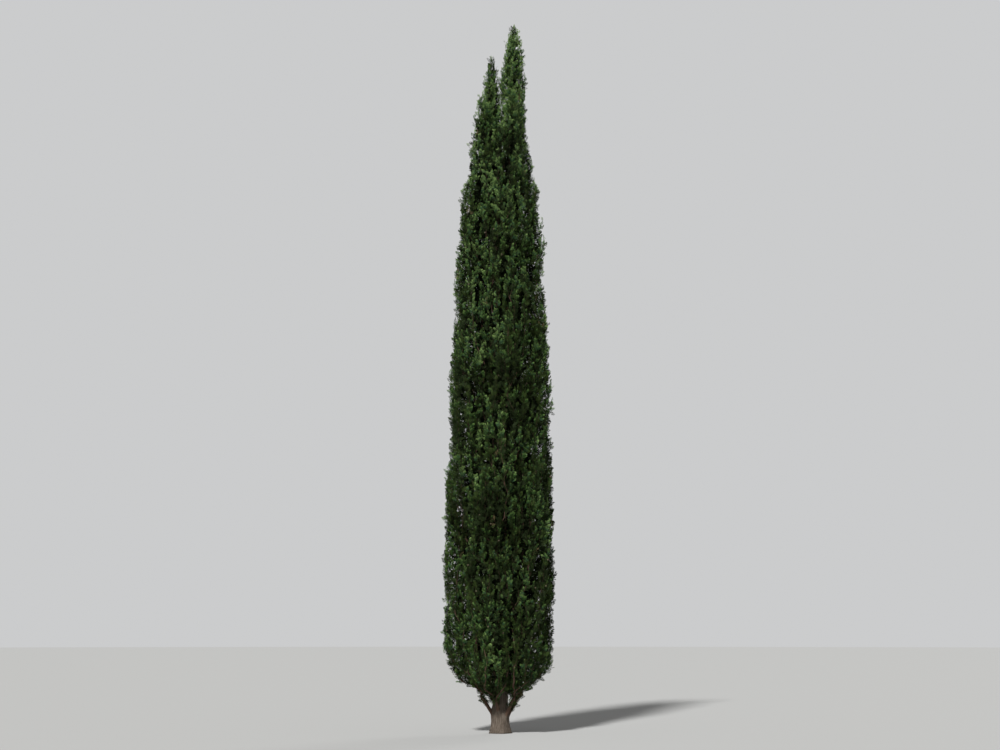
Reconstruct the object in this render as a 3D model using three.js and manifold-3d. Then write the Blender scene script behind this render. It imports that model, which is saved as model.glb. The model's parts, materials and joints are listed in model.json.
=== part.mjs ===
// An Italian cypress, whole and rooted in the ground, in millimetres with Z up.
// The origin is the middle of the flat cut under the trunk, at ground level.
// The front is the side seen from -Y, where the crown shows two tips: the trunk's own on the right
// and a second leader's on the left.
// The trunk runs whole from the flat cut to its tip. The foliage is a bundle of upright flame-shaped
// masses in rising tiers, each cut round the trunk, the second leader and the masses above it.

import * as THREE from "three";
import { mergeVertices } from "three/addons/utils/BufferGeometryUtils.js";
import Module from "manifold-3d";

const wasm = await Module();
wasm.setup();

// Driving sizes of the whole tree
const treeHeight = 12000;
const crownHalfWidth = 925; // widest, at a little over 2 m above the ground
const crownFoot = 480; // where the lowest foliage starts
const crownTaperHeight = 13000; // where the crown's curve would close if it ran on past the tips
const crownTaperPower = 3.1;
const skirtHeight = 1500; // below this the crown rounds in towards its foot
const skirtFootShare = 0.6; // of the crown's half width, left at its foot
const crownShift = 80; // how far the crown's middle moves right at its top
const crownShiftFrom = 9600;

// Trunk
const trunkTipHeight = 11780;
const trunkRadius = 128; // at the ground, without the root flare
const trunkTipRadius = 7;
const trunkTaperPower = 0.86;
const flareRadius = 62; // added at the ground by the root flare
const flareFall = 150; // height over which the flare dies away
const fluteCount = 5;
const fluteDepth = 0.3; // of the flare
const trunkSweep = 22; // how far the trunk bows out of true
const mainTipShift = 240; // how far right of the foot the main tip stands
const mainTipShiftFrom = 6600;
const mainTipShiftOver = 4300;

// Second leader
const leaderForkHeight = 6700;
const leaderTipHeight = 11180;
const leaderRadius = 52;
const leaderTipRadius = 6;
const leaderPlace = new THREE.Vector2(-150, -90); // where it stands once it has drawn clear of the trunk
const leaderSpreadOver = 2300;

// Lowest boughs, which carry the skirt
const boughStart = 215;
const boughStartStep = 42; // each next one leaves the trunk this much higher, in turn
const boughBend = 0.6; // where along its reach a bough turns upwards
const boughBendRise = 90;
const boughRadius = 27;
const boughTipRadius = 15;
const boughReach = 0.14; // how far up its mass's height a bough's line is aimed

// Gaps kept between neighbouring solids, and how far their facets may be smoothed away
const woodGap = 3;
const massGap = 5;
const facetSlack = 1.5;

// Facets
const trunkSides = 15;
const trunkStep = 820;
const limbSides = 7;
const leaderSteps = 11;
const boughSteps = 4;
const massSides = 10;
const massRings = 9;

// Tiers of upright masses, from the skirt up: the heights of their feet and tips, how far those are
// staggered, their own half width as a share of the crown's, the share of their height in which they
// draw out from the trunk, and how far round the first one stands, in degrees
const tiers = [
  { name: "skirt", count: 6, foot: crownFoot, tip: 4350, stagger: 60, girth: 0.5, spread: 0.17, turn: 12 },
  { name: "lower", count: 6, foot: 2450, tip: 7050, stagger: 150, girth: 0.5, spread: 0.3, turn: 40 },
  { name: "middle", count: 5, foot: 5100, tip: 9350, stagger: 170, girth: 0.54, spread: 0.3, turn: -8 },
  { name: "upper", count: 4, foot: 7550, tip: 10800, stagger: 90, girth: 0.6, spread: 0.3, turn: 25 },
];
const reach = 0.98; // where a mass's outer side stands, as a share of the crown's half width
const stemFoot = 0.32; // every mass starts this share of the crown's half width out from its middle
const spreadLead = 0.04; // so that it is already drawing out at its foot
const waistPower = 0.62; // under 1 puts a mass's widest part below its middle
const fullness = 0.72; // under 1 gives a mass blunter ends
const lumpDepth = 0.1;
const tipLean = 0.02; // how far a mass's tip leans out over the tier above
const turnJitter = 14; // degrees

const colours = { bark: 0x6f5f50, bough: 0x75604c, foliage: [0x33452a, 0x2d3f27, 0x3a4c2c, 0x41532f] };

const lerp = THREE.MathUtils.lerp;

// A repeatable random number from 0 to 1 for a pair of whole numbers
function chance(a, b) {
  const s = Math.sin(a * 127.1 + b * 311.7 + 17.3) * 43758.5453;
  return s - Math.floor(s);
}

function smooth(t) {
  const x = THREE.MathUtils.clamp(t, 0, 1);
  return x * x * (3 - 2 * x);
}

// The crown's half width at a height
function crownAt(z) {
  const taper = 1 - Math.pow(Math.max(z, 0) / crownTaperHeight, crownTaperPower);
  const drop = THREE.MathUtils.clamp(1 - (z - crownFoot) / (skirtHeight - crownFoot), 0, 1);
  return crownHalfWidth * taper * (1 - (1 - skirtFootShare) * drop * drop);
}

function crownMiddle(z) {
  return new THREE.Vector3(crownShift * smooth((z - crownShiftFrom) / (treeHeight - crownShiftFrom)), 0, z);
}

// The middle of the trunk at a height: a slight sweep, then the shift to the main tip
function trunkMiddle(z) {
  const shift = mainTipShift * smooth((z - mainTipShiftFrom) / mainTipShiftOver);
  const x = shift + trunkSweep * Math.sin((2 * Math.PI * z) / treeHeight);
  return new THREE.Vector3(x, trunkSweep * Math.sin((1.5 * Math.PI * z) / treeHeight), z);
}

function trunkRadiusAt(z) {
  const left = Math.pow(Math.max(1 - z / trunkTipHeight, 0), trunkTaperPower);
  return lerp(trunkTipRadius, trunkRadius, left);
}

function leaderMiddle(z) {
  const start = trunkMiddle(leaderForkHeight);
  const s = smooth((z - leaderForkHeight) / leaderSpreadOver);
  return new THREE.Vector3(lerp(start.x, leaderPlace.x, s), lerp(start.y, leaderPlace.y, s), z);
}

// A closed solid from rings of points, each ring anticlockwise seen from above, with a point at each end
function closedLoft(rings, bottom, top) {
  const sides = rings[0].length;
  const faces = [];
  for (let r = 0; r + 1 < rings.length; r++) {
    for (let i = 0; i < sides; i++) {
      const a = r * sides + i;
      const b = r * sides + ((i + 1) % sides);
      faces.push(a, b, b + sides, a, b + sides, a + sides);
    }
  }
  const low = rings.length * sides;
  const last = low - sides;
  for (let i = 0; i < sides; i++) {
    const j = (i + 1) % sides;
    faces.push(low, j, i, low + 1, last + i, last + j);
  }
  const geometry = new THREE.BufferGeometry().setFromPoints([...rings.flat(), bottom, top]);
  geometry.setIndex(faces);
  return geometry;
}

function ring(sides, pointAt) {
  return Array.from({ length: sides }, (_, i) => pointAt((2 * Math.PI * i) / sides));
}

// The point a distance out from a middle, in a direction round the upright
function beside(middle, angle, distance) {
  return new THREE.Vector3(distance * Math.cos(angle), distance * Math.sin(angle), 0).add(middle);
}

function solidOf(geometry) {
  const merged = mergeVertices(geometry, 1e-3);
  return new wasm.Manifold(
    new wasm.Mesh({
      numProp: 3,
      vertProperties: merged.attributes.position.array,
      triVerts: new Uint32Array(merged.index.array),
    }),
  );
}

function geometryOf(solid) {
  const mesh = solid.getMesh();
  const geometry = new THREE.BufferGeometry();
  geometry.setAttribute("position", new THREE.BufferAttribute(mesh.vertProperties, 3));
  geometry.setIndex(new THREE.BufferAttribute(mesh.triVerts, 1));
  return geometry;
}

function biggestPiece(solid) {
  return solid.decompose().sort((a, b) => b.volume() - a.volume())[0];
}

// The trunk, grown outwards by a gap where it is used as a cutter
function makeTrunk(gap = 0) {
  const heights = [-gap, 45, 110, 200, 340, 600, 950];
  for (let z = 1600; z < trunkTipHeight; z += trunkStep) heights.push(z);
  heights.push(trunkTipHeight);
  const rings = heights.map((z) => {
    const flare = flareRadius * Math.exp(-Math.max(z, 0) / flareFall);
    return ring(trunkSides, (angle) => {
      const flute = 1 + fluteDepth * Math.cos(fluteCount * angle + 0.6);
      const middle = trunkMiddle(z);
      return beside(middle, angle, trunkRadiusAt(z) + flare * flute + gap);
    });
  });
  const top = trunkMiddle(trunkTipHeight + gap);
  return solidOf(closedLoft(rings, trunkMiddle(-gap), top));
}

// A round limb that narrows along a curve
function makeLimb(curve, startRadius, endRadius, steps, gap = 0) {
  const frames = curve.computeFrenetFrames(steps, false);
  const rings = [];
  for (let s = 0; s <= steps; s++) {
    const radius = lerp(startRadius, endRadius, s / steps) + gap;
    rings.push(
      ring(limbSides, (angle) =>
        curve
          .getPointAt(s / steps)
          .addScaledVector(frames.normals[s], radius * Math.cos(angle))
          .addScaledVector(frames.binormals[s], radius * Math.sin(angle)),
      ),
    );
  }
  return solidOf(closedLoft(rings, curve.getPointAt(0), curve.getPointAt(1)));
}

function makeLeader(gap = 0) {
  const heights = Array.from({ length: 9 }, (_, i) => lerp(leaderForkHeight, leaderTipHeight, i / 8));
  const curve = new THREE.CatmullRomCurve3(heights.map(leaderMiddle));
  return makeLimb(curve, leaderRadius, leaderTipRadius, leaderSteps, gap);
}

function tierAngle(tier, index) {
  const jitter = turnJitter * (chance(index % tier.count, tier.count + tier.foot) - 0.5);
  return THREE.MathUtils.degToRad(tier.turn + (360 * index) / tier.count + jitter);
}

// The middle line and width of a mass in a tier, which starts near the trunk and sweeps out to the
// crown's side
function tierSpine(tier, index) {
  const angle = tierAngle(tier, index);
  const foot = tier.foot + tier.stagger * 2 * chance(index, 3);
  const tip = tier.tip + tier.stagger * 4 * (chance(index, 7) - 0.5);
  const girth = tier.girth * (0.94 + 0.14 * chance(index, tier.foot));
  const widthAt = (t) => girth * Math.pow(Math.sin(Math.PI * Math.pow(t, waistPower)), fullness);
  return {
    radiusAt: (t) => crownAt(lerp(foot, tip, t)) * widthAt(t),
    middleAt: (t) => {
      const z = lerp(foot, tip, t);
      const out = reach + tipLean * t - widthAt(t);
      const away = lerp(stemFoot, out, smooth((t + spreadLead) / tier.spread));
      return beside(crownMiddle(z), angle, crownAt(z) * away);
    },
  };
}

// The slim mass round a leader's top, blunt at its tip
function tipSpine(middle, foot, tip, footRadius, topRadius) {
  const widthAt = (t) => Math.pow(1 - Math.pow(t, 4.5), 0.6) * smooth((t + 0.08) / 0.3);
  return {
    radiusAt: (t) => lerp(footRadius, topRadius, t) * widthAt(t),
    middleAt: (t) => middle(lerp(foot, tip, t)),
  };
}

// One uneven closed mass of foliage round a spine
function makePlume(spine, seed, gap = 0) {
  const phase = [0, 1, 2].map((n) => chance(seed, n + 11) * 2 * Math.PI);
  const rings = [];
  for (let r = 1; r <= massRings; r++) {
    const t = r / (massRings + 1);
    rings.push(
      ring(massSides, (angle) => {
        const lump =
          Math.sin(2 * angle + 9 * t + phase[0]) +
          0.8 * Math.sin(3 * angle - 13 * t + phase[1]) +
          0.6 * Math.sin(19 * t + phase[2]);
        return beside(spine.middleAt(t), angle, spine.radiusAt(t) * (1 + lumpDepth * lump) + gap);
      }),
    );
  }
  const bottom = spine.middleAt(0);
  const top = spine.middleAt(1);
  bottom.z -= 3 * gap;
  top.z += 3 * gap;
  return solidOf(closedLoft(rings, bottom, top));
}

// The upright wedge of the crown that a mass keeps to, between those of its neighbours in the tier
function makeWedge(tier, index, gap) {
  const angle = tierAngle(tier, index);
  const before = (tierAngle(tier, index + tier.count - 1) - 2 * Math.PI + angle) / 2;
  const after = (tierAngle(tier, index + 1) + angle) / 2;
  const shift = gap / Math.sin((after - before) / 2);
  const section = (z) => {
    const apex = beside(new THREE.Vector3(0, 0, z), (before + after) / 2, shift);
    return [apex, beside(apex, before, 3 * crownHalfWidth), beside(apex, after, 3 * crownHalfWidth)];
  };
  const centreOf = (points) => points.reduce((sum, p) => sum.addScaledVector(p, 1 / 3), new THREE.Vector3());
  const bottom = section(0);
  const top = section(treeHeight);
  return solidOf(closedLoft([bottom, top], centreOf(bottom), centreOf(top)));
}

const group = new THREE.Group();

function addPart(name, solid, colour, roughness) {
  const material = new THREE.MeshStandardMaterial({ color: colour, roughness, metalness: 0 });
  const mesh = new THREE.Mesh(geometryOf(solid), material);
  mesh.name = name;
  group.add(mesh);
}

// Wood
const wood = makeTrunk(woodGap).add(makeLeader(woodGap));
addPart("trunk", makeTrunk(), colours.bark, 0.9);
addPart("second_leader", biggestPiece(makeLeader().subtract(makeTrunk(woodGap))), colours.bough, 0.9);

// Foliage, from the two tips down, each mass cut by the wood and by the masses above it
let seed = 0;
function addFoliage(name, plume, above) {
  let mass = plume.subtract(wood);
  for (const cutter of above) mass = mass.subtract(cutter);
  mass = biggestPiece(mass.simplify(facetSlack));
  addPart(`foliage_${name}`, mass, colours.foliage[seed % colours.foliage.length], 0.85);
  seed += 1;
}

const mainTip = tipSpine(trunkMiddle, 9850, treeHeight, 215, 185);
const secondTip = tipSpine(leaderMiddle, 9600, 11390, 220, 120);
const cutters = [makePlume(mainTip, 0, massGap), makePlume(secondTip, 1, massGap)];
addFoliage("main_tip", makePlume(mainTip, 0), []);
addFoliage("second_tip", makePlume(secondTip, 1), [cutters[0]]);
const skirtMasses = [];
for (const tier of [...tiers].reverse()) {
  const grown = [];
  for (let i = 0; i < tier.count; i++) {
    const spine = tierSpine(tier, i);
    const plume = makePlume(spine, seed).intersect(makeWedge(tier, i, massGap / 2));
    grown.push(makePlume(spine, seed, massGap).intersect(makeWedge(tier, i, -massGap / 2)));
    if (tier === tiers[0]) skirtMasses.push({ spine, cutter: grown[i] });
    addFoliage(`${tier.name}_${i + 1}`, plume, cutters);
  }
  cutters.push(...grown);
}

// The lowest boughs, each from the trunk to where it enters its own mass of the skirt
skirtMasses.forEach(({ spine, cutter }, i) => {
  const start = boughStart + boughStartStep * ((i * 2) % 5);
  const from = trunkMiddle(start);
  const inside = spine.middleAt(boughReach);
  const bend = from.clone().lerp(inside, boughBend).setZ(start + boughBendRise);
  const curve = new THREE.QuadraticBezierCurve3(from, bend, inside);
  const bough = makeLimb(curve, boughRadius, boughTipRadius, boughSteps).subtract(makeTrunk(woodGap));
  addPart(`bough_${i + 1}`, biggestPiece(bough.subtract(cutter)), colours.bough, 0.9);
});

export default group;
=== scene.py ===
import json
import math
import random
from functools import partial

import bmesh
import bpy
import numpy as np
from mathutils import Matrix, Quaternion, Vector, noise
from mathutils.bvhtree import BVHTree
from mathutils.kdtree import KDTree

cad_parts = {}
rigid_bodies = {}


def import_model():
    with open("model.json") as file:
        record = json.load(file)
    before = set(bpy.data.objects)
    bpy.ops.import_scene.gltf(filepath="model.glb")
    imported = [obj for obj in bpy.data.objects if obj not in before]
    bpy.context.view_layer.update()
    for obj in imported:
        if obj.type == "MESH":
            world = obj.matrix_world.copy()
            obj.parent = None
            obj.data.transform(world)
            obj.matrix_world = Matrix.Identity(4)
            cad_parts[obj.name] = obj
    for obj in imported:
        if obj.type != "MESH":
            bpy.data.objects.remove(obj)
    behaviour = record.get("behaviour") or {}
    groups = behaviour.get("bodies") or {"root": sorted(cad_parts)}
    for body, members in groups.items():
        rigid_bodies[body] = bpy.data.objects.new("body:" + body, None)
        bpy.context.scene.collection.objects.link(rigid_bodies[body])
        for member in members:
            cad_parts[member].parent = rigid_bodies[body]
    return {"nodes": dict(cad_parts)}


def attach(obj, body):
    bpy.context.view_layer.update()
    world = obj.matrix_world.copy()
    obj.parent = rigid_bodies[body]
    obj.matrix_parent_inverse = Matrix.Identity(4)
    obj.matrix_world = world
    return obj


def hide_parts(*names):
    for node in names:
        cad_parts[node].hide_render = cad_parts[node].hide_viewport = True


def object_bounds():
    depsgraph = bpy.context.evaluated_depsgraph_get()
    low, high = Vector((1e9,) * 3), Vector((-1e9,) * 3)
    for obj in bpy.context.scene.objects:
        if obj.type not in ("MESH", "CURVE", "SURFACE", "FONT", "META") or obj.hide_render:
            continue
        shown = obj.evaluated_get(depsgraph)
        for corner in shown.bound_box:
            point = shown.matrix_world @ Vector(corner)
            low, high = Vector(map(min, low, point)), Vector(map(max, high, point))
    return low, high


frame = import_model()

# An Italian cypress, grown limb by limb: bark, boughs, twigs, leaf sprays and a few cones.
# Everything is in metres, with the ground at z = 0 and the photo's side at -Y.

scene = bpy.context.scene
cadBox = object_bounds()
up = Vector((0, 0, 1))


# Small tools

def linear(hexColour):
    # an sRGB hex colour as the linear numbers that Blender works in
    parts = [int(hexColour[i:i + 2], 16) / 255 for i in (1, 3, 5)]
    return [c / 12.92 if c <= 0.04045 else ((c + 0.055) / 1.055) ** 2.4 for c in parts] + [1.0]


def addNode(tree, kind, inputs=None, **settings):
    # adds a node with its settings; each input takes a value or another node's output
    node = tree.nodes.new(kind)
    for name, value in settings.items():
        setattr(node, name, value)
    for name, value in (inputs or {}).items():
        if isinstance(name, int):
            socket = node.inputs[name]
        else:
            socket = next(s for s in node.inputs if s.name == name and s.enabled)
        if isinstance(value, bpy.types.NodeSocket):
            tree.links.new(value, socket)
        else:
            socket.default_value = value
    return next((s for s in node.outputs if s.enabled), None)


def mix(a, b, share):
    return a + (b - a) * share


def newMesh(name, points, edges, faces):
    mesh = bpy.data.meshes.new(name)
    mesh.from_pydata(points, edges, faces)
    return mesh


def linkObject(name, data):
    piece = bpy.data.objects.new(name, data)
    scene.collection.objects.link(piece)
    return piece


def turnAbout(vector, axis, degrees):
    turned = vector.copy()
    turned.rotate(Quaternion(axis, math.radians(degrees)))
    return turned


# Materials, each named for what it is on the real tree

def plainMaterial(name, hexColour, roughness, shine):
    material = bpy.data.materials.new(name)
    material.use_nodes = True
    shader = material.node_tree.nodes["Principled BSDF"]
    shader.inputs["Base Color"].default_value = linear(hexColour)
    shader.inputs["Roughness"].default_value = roughness
    shader.inputs["Specular IOR Level"].default_value = shine
    return material


barkLook = {
    "ridge": (0.62, "#7a7065"),  # weathered grey face of a bark strip, with its level in the fibres' noise
    "body": (0.47, "#5a5046"),
    "crack": (0.38, "#271d17"),  # red-brown inside the fissures
    "stripWidth": 0.012,  # metres across one fibrous strip
    "stripLength": 0.30,
    "sway": 0.03,  # metres that a strip wanders
    "waves": 5.0,  # of that wandering, for each metre
    "patches": 6.0,  # of weathering, for each metre
    "roughness": 0.88,  # dry fibres, no gloss
    "shine": 0.25,
    "bumpDepth": 0.004,
}
boughLook = {**barkLook, "ridge": (0.62, "#6f5e4d"), "body": (0.47, "#554136"), "crack": (0.38, "#2a1b15"),
             "stripWidth": 0.007, "stripLength": 0.14, "bumpDepth": 0.002}


def barkMaterial(name, look, alongLimb):
    # fibrous bark: lengthwise strips that peel, grey outside and red-brown between
    body = look["body"][1]
    material = plainMaterial(name, body, look["roughness"], look["shine"])
    tree = material.node_tree
    add = partial(addNode, tree)
    if alongLimb:
        place = add("ShaderNodeAttribute", attribute_name="barkPlace").node.outputs["Vector"]
    else:
        place = add("ShaderNodeTexCoord").node.outputs["Object"]
    across, along = 1 / look["stripWidth"], 1 / look["stripLength"]
    sway = add("ShaderNodeTexNoise", {"Vector": place, "Scale": look["waves"], "Detail": 1.0}).node
    bent = add("ShaderNodeMix", {"Factor": look["sway"], "A": place, "B": sway.outputs["Color"]},
               data_type="VECTOR")
    strips = add("ShaderNodeMapping", {"Vector": bent, "Scale": (across, across, along)})
    fibre = add("ShaderNodeTexNoise", {"Vector": strips, "Scale": 1.0, "Detail": 6.0, "Roughness": 0.65})
    patch = add("ShaderNodeTexNoise", {"Vector": place, "Scale": look["patches"], "Detail": 3.0})
    ramp = add("ShaderNodeValToRGB", {"Fac": fibre})
    stops = ramp.node.color_ramp.elements
    for k, part in enumerate(("crack", "ridge")):
        stops[k].position, stops[k].color = look[part][0], linear(look[part][1])
    stops.new(look["body"][0]).color = linear(body)  # last, because it moves the others along
    weathered = add("ShaderNodeMix", {"Factor": patch, "A": ramp, "B": linear(body)}, data_type="RGBA")
    bump = add("ShaderNodeBump", {"Strength": 0.8, "Distance": look["bumpDepth"], "Height": fibre})
    shader = tree.nodes["Principled BSDF"]
    tree.links.new(weathered, shader.inputs["Base Color"])
    tree.links.new(bump, shader.inputs["Normal"])
    return material


trunkBark = barkMaterial("fibrousTrunkBark", barkLook, alongLimb=False)
boughBark = barkMaterial("thinBoughBark", boughLook, alongLimb=True)
twigWood = plainMaterial("redBrownTwigWood", "#48352a", 0.7, 0.3)  # smooth young bark with a slight sheen
coneWood = plainMaterial("dryConeWood", "#655a4a", 0.75, 0.3)  # grey-brown and dull

leafLook = {
    "roughness": 0.7,  # fine scales with a thin wax bloom: matt, with little shine
    "shine": 0.12,
    "tints": [  # from shaded old growth to this year's shoots
        ("deepGreenScaleLeaf", "#222f15"),
        ("oliveScaleLeaf", "#32411b"),
        ("darkGreenScaleLeaf", "#2c461f"),
        ("blueGreenScaleLeaf", "#355235"),
        ("lightOliveScaleLeaf", "#4a5f35"),
        ("freshGreenScaleLeaf", "#577243"),
        ("agingBrownScaleLeaf", "#5a5137"),
    ],
    "tips": [("oliveTipScaleLeaf", "#556f39", 1.5, 3.5), ("youngTipScaleLeaf", "#769051", 3.5, 5.5)],
    "inside": [("shadedOldScaleLeaf", "#222d15"), ("witheredInnerLeaf", "#1a2210")],  # and in the core; both drawn darker as painted shade, for the leaves deep in the crown
    "layerStep": 20.0,  # between the tint numbers of the crown's layers
}


def leafChoice(name, hexColour, low, high, onlyTips=False):
    # a leaf material, the range of tint numbers that take it, and whether only young tips do
    return plainMaterial(name, hexColour, leafLook["roughness"], leafLook["shine"]), low, high, onlyTips


tintCount = len(leafLook["tints"])
layerStep = leafLook["layerStep"]
leafChoices = [leafChoice(*leaf, k - 0.5, k + 0.5) for k, leaf in enumerate(leafLook["tints"])]
leafChoices += [leafChoice(*leaf, True) for leaf in leafLook["tips"]]
# the inner layers take the inside leaves, whose darker colours are painted shade
leafChoices += [leafChoice(*leaf, k * layerStep - 1, (k + 1) * layerStep - 1)
                for k, leaf in enumerate(leafLook["inside"], 1)]
print("materials ready")


# What the frame gives: triangles, cross-sections and the crown's outer face

def cadTriangles(name):
    mesh = frame["nodes"][name].data
    mesh.calc_loop_triangles()
    points = np.empty(len(mesh.vertices) * 3, np.float32)
    corners = np.empty(len(mesh.loop_triangles) * 3, np.int32)
    mesh.vertices.foreach_get("co", points)
    mesh.loop_triangles.foreach_get("vertices", corners)
    return points.reshape(-1, 3)[corners].reshape(-1, 3, 3).astype(float)


def crossSection(triangles, height):
    # the points where the solid's edges pass through a level
    above = triangles[:, :, 2] > height
    found = []
    for a, b in ((0, 1), (1, 2), (2, 0)):
        passing = above[:, a] != above[:, b]
        low, high = triangles[passing, a], triangles[passing, b]
        share = (height - low[:, 2]) / (high[:, 2] - low[:, 2])
        found.append(low + share[:, None] * (high - low))
    return np.vstack(found)


def middleLine(name, count, inset):
    # the middle of a solid at a number of heights, from its foot to its tip
    triangles = solids[name]
    low, high = triangles[:, :, 2].min(), triangles[:, :, 2].max()
    line = []
    for k in range(count):
        section = crossSection(triangles, mix(low, high, inset + (1 - 2 * inset) * k / (count - 1)))
        line.append(Vector((section.min(0) + section.max(0)) / 2))
    return line


def faceTree(triangles):
    corners = np.arange(len(triangles) * 3).reshape(-1, 3)
    return BVHTree.FromPolygons(triangles.reshape(-1, 3).tolist(), corners.tolist(), all_triangles=True)


crownGap = 0.08  # a face with less room than this before it is inside the crown
tipGap = 0.04  # the same for the slim masses of the two tips, so that the fork between them fills
justOff = 0.003  # where a ray starts that leaves a face
masses = sorted(n for n in frame["nodes"] if n.startswith("foliage_"))
solids = {name: cadTriangles(name) for name in frame["nodes"]}
allFaces = faceTree(np.vstack(list(solids.values())))


def facesOut(place, normal, mass):
    gap = tipGap if mass.endswith("tip") else crownGap
    return allFaces.ray_cast(place + normal * justOff, normal, gap)[0] is None


def outerFaces():
    kept = []
    for mass in masses:
        for triangle in solids[mass]:
            a, b, c = (Vector(p) for p in triangle)
            normal = (b - a).cross(c - a).normalized()
            if facesOut((a + b + c) / 3, normal, mass):
                kept.append(triangle)
    return faceTree(np.array(kept))


crownSkin = outerFaces()


def outside(place):
    # how far a place is outside the crown's skin, below zero inside it, and the way out
    near, normal, _, distance = crownSkin.find_nearest(place)
    return (distance if (place - near).dot(normal) > 0 else -distance), normal


trunkLine = [Vector((0, 0, 0))] + middleLine("trunk", 60, 0.004)
trunkHeights = [p.z for p in trunkLine]


def trunkAt(height):
    x, y = (float(np.interp(height, trunkHeights, [p[axis] for p in trunkLine])) for axis in (0, 1))
    return Vector((x, y, height))


def boughLine(number):
    return middleLine("bough_" + number, 4, 0.08)


# Bark of the trunk, with the root flare and the relief of its strips

trunkLook = {
    "sides": 150,
    "lowRow": 0.022,  # height of a row of faces near the ground
    "highRow": 0.12,
    "lowUpTo": 0.95,
    "relief": 0.012,  # depth of the fissures at the foot
    "fullRelief": 0.12,  # radius from which they have that depth
    "stripWidth": 0.026,
    "stripLength": 0.42,
    "edge": 3.0,  # how steeply a strip rises from its fissure, and how flat its face is
    "flat": 0.7,
    "fine": (2.3, 0.2),  # finer grain: times as fine, and its share
    "twist": 0.25,  # turns of the fibres round the trunk, for each metre up
    "swell": 0.030,  # how far the trunk swells where a bough leaves it
    "swellWidth": 0.036,
    "swellAbove": 0.07,
    "swellBelow": 0.12,
}


def footOf(bough):
    # the way round the trunk and the height at which a bough leaves it
    place = boughLine(bough[-1])[0]
    away = place - trunkAt(place.z)
    return math.atan2(away.y, away.x), place.z


boughFeet = [footOf(name) for name in sorted(solids) if name.startswith("bough_")]


def swelling(angle, z, radius, look):
    # the collar round the foot of each bough, with a ridge that runs down from it
    total = 0.0
    for turn, height in boughFeet:
        aside = radius * math.remainder(angle - turn, 2 * math.pi) / look["swellWidth"]
        rise = (z - height) / look["swellAbove" if z > height else "swellBelow"]
        total += look["swell"] * math.exp(-aside ** 2 - rise ** 2)
    return total


def barkRelief(place, look):
    # from 0 in a fissure to 1 on the face of a strip
    finer, share = look["fine"]
    across, along = look["stripWidth"], look["stripLength"]
    grain = Vector((place.x / across, place.y / across, place.z / along))
    strip = min(1.0, abs(noise.noise(grain)) * look["edge"]) ** look["flat"]
    return (1 - share) * strip + share * (0.5 + noise.noise(grain * finer))


def makeTrunk(look):
    triangles = solids["trunk"]
    levels = sorted({round(z, 3) for z in triangles[:, :, 2].ravel()})
    top = levels[-1] - 0.002  # just below the flat ends, where a level still cuts the solid
    bottom = 0.0008
    levels = [z for z in levels if z < top] + [top]
    angles = np.linspace(0, 2 * math.pi, look["sides"], endpoint=False)
    girths = []
    for z in levels:
        section = crossSection(triangles, max(z, bottom))
        middle = trunkAt(z)
        turn = np.arctan2(section[:, 1] - middle.y, section[:, 0] - middle.x)
        reach = np.hypot(section[:, 0] - middle.x, section[:, 1] - middle.y)
        order = np.argsort(turn)
        girths.append(np.interp(angles, turn[order], reach[order], period=2 * math.pi))
    girths = np.array(girths)
    heights = list(np.arange(0, look["lowUpTo"], look["lowRow"]))
    heights += list(np.arange(look["lowUpTo"], top, look["highRow"])) + [top]
    points, faces, sides = [], [], look["sides"]
    for z in heights:
        middle = trunkAt(z)
        turned = z * look["twist"]
        for k, angle in enumerate(angles):
            radius = float(np.interp(z, levels, girths[:, k]))
            grain = Vector((radius * math.cos(angle + turned), radius * math.sin(angle + turned), z))
            radius += swelling(angle, z, radius, look)
            deep = look["relief"] * min(1.0, radius / look["fullRelief"])
            radius -= deep * (1 - barkRelief(grain, look))
            points.append((middle.x + radius * math.cos(angle), middle.y + radius * math.sin(angle), z))
    for row in range(len(heights) - 1):
        for k in range(sides):
            a, b = row * sides + k, row * sides + (k + 1) % sides
            faces.append((a, b, b + sides, a + sides))
    faces.append(tuple(reversed(range(sides))))
    faces.append(tuple(range((len(heights) - 1) * sides, len(heights) * sides)))
    mesh = newMesh("trunk_bark", points, [], faces)
    mesh.shade_smooth()
    mesh.materials.append(trunkBark)
    return linkObject("trunk_bark", mesh)


trunk = makeTrunk(trunkLook)
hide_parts("trunk")
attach(trunk, "root")
print("trunk", len(trunk.data.polygons), "faces")


# Limbs: one leading limb for each mass of foliage, rising from the trunk through the mass

limbRules = {
    "leaveBelow": 0.75,  # how far below its mass's foot a limb leaves the trunk
    "bend": (0.3, 0.45),  # shares of the way out and of that height, where it turns upright
    "tipFoot": 0.4,  # the same distance on the two slim tips
    "step": 0.07,  # distance between points where a twig can leave
    "radius": (0.020, 0.004),  # at the trunk and at the tip
    "boughRadius": (0.027, 0.005),  # of the lowest boughs, as in the frame
    "leaderRadius": (0.052, 0.006),  # of the second leader, likewise
    "trunkRadius": ((0.0, 0.6, 11.8), (0.17, 0.13, 0.01)),  # heights and radii
    "collar": 0.45,  # how much a limb swells where it leaves the trunk, as a share of its radius
    "collarLength": 0.07,
    "inwards": 0.30,  # how far the foot of a limb is drawn in towards the trunk
    "boughFoot": ((0.25, 0.26), (0.80, 0.07)),  # share of the way out to the trunk's face, and metres down
}


def smoothLine(points, step):
    # an even line through the points, rounded at each of them
    rounded = []
    for i in range(len(points) - 1):
        a, b = points[i], points[i + 1]
        before, after = points[max(i - 1, 0)], points[min(i + 2, len(points) - 1)]
        pieces = max(2, math.ceil((b - a).length / step))
        for k in range(pieces):
            t = k / pieces
            rounded.append(0.5 * (2 * a + (b - before) * t + (2 * before - 5 * a + 4 * b - after) * t * t
                                  + (3 * a - before - 3 * b + after) * t ** 3))
    return rounded + [points[-1]]


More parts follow.
